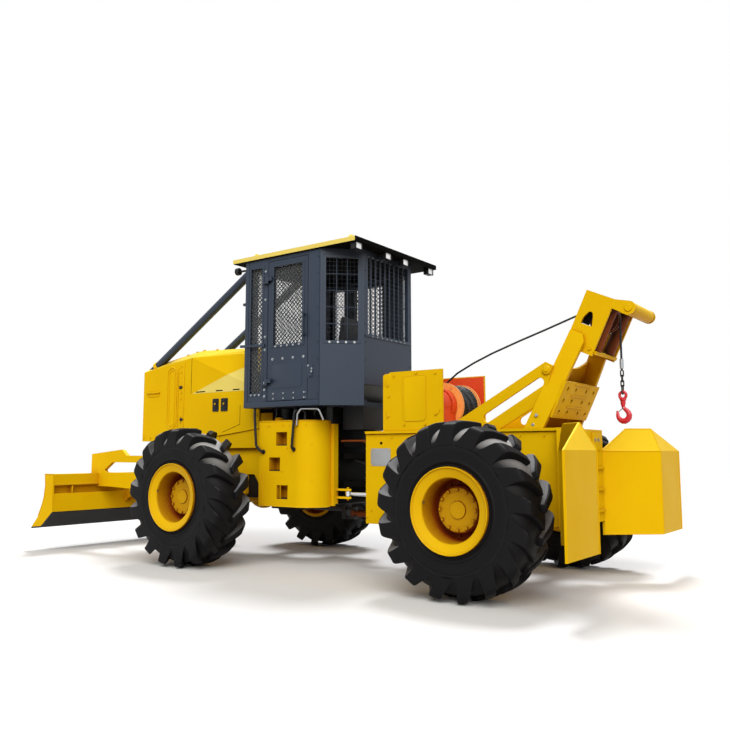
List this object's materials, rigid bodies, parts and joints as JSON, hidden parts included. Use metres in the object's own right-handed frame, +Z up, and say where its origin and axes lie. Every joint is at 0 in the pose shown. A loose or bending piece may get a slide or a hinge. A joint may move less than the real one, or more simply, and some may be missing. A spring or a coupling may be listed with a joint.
{
  "type": "articulated cable skidder",
  "caption": "Articulated four-wheel log skidder with front blade, long hood, mesh-guarded cab, cable winch, leaning rear arch with hook, and wide wheel guards.",
  "frame": {"origin": "middle of the footprint on the ground, halfway between the rearmost point of the arch roller and the blade edge", "axes": "+X forward towards the blade, +Y to the left, +Z up; left and right halves mirror in the XZ plane except for the winch gearbox and drum"},
  "size_m": [7.1727, 3.126, 3.4399],
  "materials": {
    "yellow": "gloss",
    "cab_blue": "satin",
    "black_paint": "satin",
    "roof_paint": "gloss",
    "rubber": "matt",
    "rod_chrome": "polished",
    "steel": "worn",
    "drive_paint": "worn",
    "hook_red": "gloss",
    "winch_orange": "gloss",
    "iron": "matt",
    "rope_steel": "oiled",
    "seat_vinyl": "satin",
    "plastic": "matt",
    "lamp": "satin"
  },
  "bodies": {
    "front_chassis": {"front_frame": "yellow", "transfer_case": "iron", "engine_block": "iron", "hood": "yellow", "hood_grille": "black_paint", "front_axle": "yellow", "step_tanks": "yellow", "grab_rails": "black_paint", "cab_mounts": "plastic", "cab_underbox": "black_paint", "cab_floor": "cab_blue", "cab_front": "cab_blue", "cab_sides": "cab_blue", "cab_quarters": "cab_blue", "cab_rear": "cab_blue", "cab_roof": "roof_paint", "work_lamps": "lamp", "limb_risers": "cab_blue", "seat": "seat_vinyl", "console": "plastic", "frame_pins": "steel"},
    "rear_chassis": {"rear_frame": "yellow", "rear_axle": "yellow", "winch_housing": "yellow", "winch_supports": "winch_orange", "arch": "yellow", "arch_braces": "yellow", "fairlead": "drive_paint", "rope": "rope_steel", "hook_chain": "iron", "hook": "hook_red", "wheel_guards": "yellow"},
    "left_door": {"door_left": "cab_blue"},
    "right_door": {"door_right": "cab_blue"},
    "blade_assembly": {"blade": "yellow", "cutting_edge": "black_paint", "blade_arms": "yellow"},
    "lift_barrel_pair": {"lift_barrels": "black_paint"},
    "lift_rod_pair": {"lift_rods": "rod_chrome"},
    "drive_shaft": {"propshaft": "drive_paint"},
    "steer_barrel_l": {"steer_barrel_left": "black_paint"},
    "steer_barrel_r": {"steer_barrel_right": "black_paint"},
    "steer_rod_l": {"steer_rod_left": "rod_chrome"},
    "steer_rod_r": {"steer_rod_right": "rod_chrome"},
    "drum": {"winch_drum": "steel"},
    "wheel_front_left": {"tyre_front_left": "rubber", "rim_front_left": "yellow"},
    "wheel_front_right": {"tyre_front_right": "rubber", "rim_front_right": "yellow"},
    "wheel_rear_left": {"tyre_rear_left": "rubber", "rim_rear_left": "yellow"},
    "wheel_rear_right": {"tyre_rear_right": "rubber", "rim_rear_right": "yellow"}
  },
  "joints": [
    {"name": "articulation", "type": "hinge", "parent": "front_chassis", "child": "rear_chassis", "pos_m": [-0.68261, 0, 1.01], "axis": [0, 0, 1], "range_deg": [-34, 34]},
    {"name": "propshaft_swing", "type": "hinge", "parent": "front_chassis", "child": "drive_shaft", "pos_m": [-0.3826, 0, 0.54], "axis": [0, 0, 1], "range_deg": [-17.5, 17.5]},
    {"name": "steer_barrel_left_swing", "type": "hinge", "parent": "rear_chassis", "child": "steer_barrel_l", "pos_m": [-1.4826, 0.3, 0.768], "axis": [0, 0, 1], "range_deg": [-4.12, 4.12]},
    {"name": "steer_rod_left_slide", "type": "slide", "parent": "steer_barrel_l", "child": "steer_rod_l", "axis": [0.9996, 0.0272, 0], "range_m": [-0.1871, 0.1871]},
    {"name": "steer_barrel_right_swing", "type": "hinge", "parent": "rear_chassis", "child": "steer_barrel_r", "pos_m": [-1.4826, -0.3, 0.768], "axis": [0, 0, 1], "range_deg": [-4.12, 4.12]},
    {"name": "steer_rod_right_slide", "type": "slide", "parent": "steer_barrel_r", "child": "steer_rod_r", "axis": [0.9996, -0.0272, 0], "range_m": [-0.1871, 0.1871]},
    {"name": "blade_lift", "type": "hinge", "parent": "front_chassis", "child": "blade_assembly", "pos_m": [2.06739, 0, 0.82], "axis": [0, 1, 0], "range_deg": [-12, 9]},
    {"name": "lift_barrel_swing", "type": "hinge", "parent": "front_chassis", "child": "lift_barrel_pair", "pos_m": [2.4774, 0, 1.2], "axis": [0, 1, 0], "range_deg": [-13.31, 9.98]},
    {"name": "lift_rod_slide", "type": "slide", "parent": "lift_barrel_pair", "child": "lift_rod_pair", "axis": [0.7377, 0, -0.6752], "range_m": [-0.1179, 0.0884]},
    {"name": "door_left_swing", "type": "hinge", "parent": "front_chassis", "child": "left_door", "pos_m": [0.2204, 0.782, 2.5], "axis": [0, 0, 1], "range_deg": [-95, 0]},
    {"name": "door_right_swing", "type": "hinge", "parent": "front_chassis", "child": "right_door", "pos_m": [0.2204, -0.782, 2.5], "axis": [0, 0, 1], "range_deg": [0, 95]},
    {"name": "winch_drum_spin", "type": "hinge", "parent": "rear_chassis", "child": "drum", "pos_m": [-1.59261, 0, 1.66], "axis": [0, 1, 0], "continuous": true},
    {"name": "wheel_front_left_roll", "type": "hinge", "parent": "front_chassis", "child": "wheel_front_left", "pos_m": [0.95739, 1.18, 0.73], "axis": [0, 1, 0], "continuous": true},
    {"name": "wheel_front_right_roll", "type": "hinge", "parent": "front_chassis", "child": "wheel_front_right", "pos_m": [0.95739, -1.18, 0.73], "axis": [0, 1, 0], "continuous": true},
    {"name": "wheel_rear_left_roll", "type": "hinge", "parent": "rear_chassis", "child": "wheel_rear_left", "pos_m": [-2.3826, 1.18, 0.73], "axis": [0, 1, 0], "continuous": true},
    {"name": "wheel_rear_right_roll", "type": "hinge", "parent": "rear_chassis", "child": "wheel_rear_right", "pos_m": [-2.3826, -1.18, 0.73], "axis": [0, 1, 0], "continuous": true}
  ],
  "couplings": [
    {"joint": "propshaft_swing", "follows": "articulation", "ratio": 0.5},
    {"joint": "steer_barrel_left_swing", "follows": "articulation", "ratio": -0.11876},
    {"joint": "steer_barrel_right_swing", "follows": "articulation", "ratio": -0.11876},
    {"joint": "steer_rod_left_slide", "follows": "articulation", "m_per_rad": 0.30918},
    {"joint": "steer_rod_right_slide", "follows": "articulation", "m_per_rad": -0.30918},
    {"joint": "lift_barrel_swing", "follows": "blade_lift", "ratio": 1.0874},
    {"joint": "lift_rod_slide", "follows": "blade_lift", "m_per_rad": 0.55169}
  ]
}
